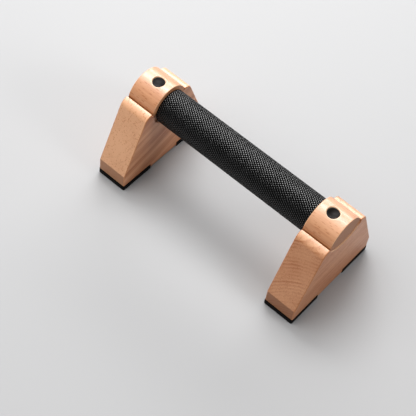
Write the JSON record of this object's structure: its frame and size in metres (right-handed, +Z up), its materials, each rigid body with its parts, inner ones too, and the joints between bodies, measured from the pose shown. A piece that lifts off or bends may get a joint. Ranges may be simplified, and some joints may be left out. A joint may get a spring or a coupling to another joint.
{
  "type": "parallette bar",
  "caption": "Low free-standing parallette: a knurled rubber grip on a bar whose turned beech ends are bolted into trapezoid beech feet on rubber pads.",
  "frame": {"origin": "on the floor, under the middle of the bar", "axes": "+X along the bar, +Y along the feet, +Z up"},
  "size_m": [0.256, 0.121, 0.1095],
  "materials": {
    "foot_beech": "fine-sanded beech, satin oil, grain along the foot",
    "bar_end_beech": "turned beech, satin oil, grain along the bar",
    "grip_rubber": "black rubber with a diamond knurl",
    "tube_steel": "drawn steel tube",
    "plug_nylon": "natural nylon",
    "bolt_steel": "bright zinc plate",
    "insert_brass": "turned brass",
    "cap_plastic": "black moulded plastic, satin",
    "pad_rubber": "black anti-slip rubber"
  },
  "bodies": {
    "frame": {"left_foot": "foot_beech", "right_foot": "foot_beech", "left_bar_end": "bar_end_beech", "right_bar_end": "bar_end_beech", "core_tube": "tube_steel", "grip_sleeve": "grip_rubber", "left_core_plug": "plug_nylon", "right_core_plug": "plug_nylon", "left_bolt": "bolt_steel", "right_bolt": "bolt_steel", "left_washer": "bolt_steel", "right_washer": "bolt_steel", "left_threaded_insert": "insert_brass", "right_threaded_insert": "insert_brass", "left_front_pad": "pad_rubber", "left_rear_pad": "pad_rubber", "right_front_pad": "pad_rubber", "right_rear_pad": "pad_rubber"},
    "left_cap": {"left_bolt_cap": "cap_plastic"},
    "right_cap": {"right_bolt_cap": "cap_plastic"}
  },
  "joints": [
    {"name": "left_cap_pull", "type": "slide", "parent": "frame", "child": "left_cap", "axis": [0, 0, 1], "range_m": [0, 0.012]},
    {"name": "right_cap_pull", "type": "slide", "parent": "frame", "child": "right_cap", "axis": [0, 0, 1], "range_m": [0, 0.012]}
  ]
}
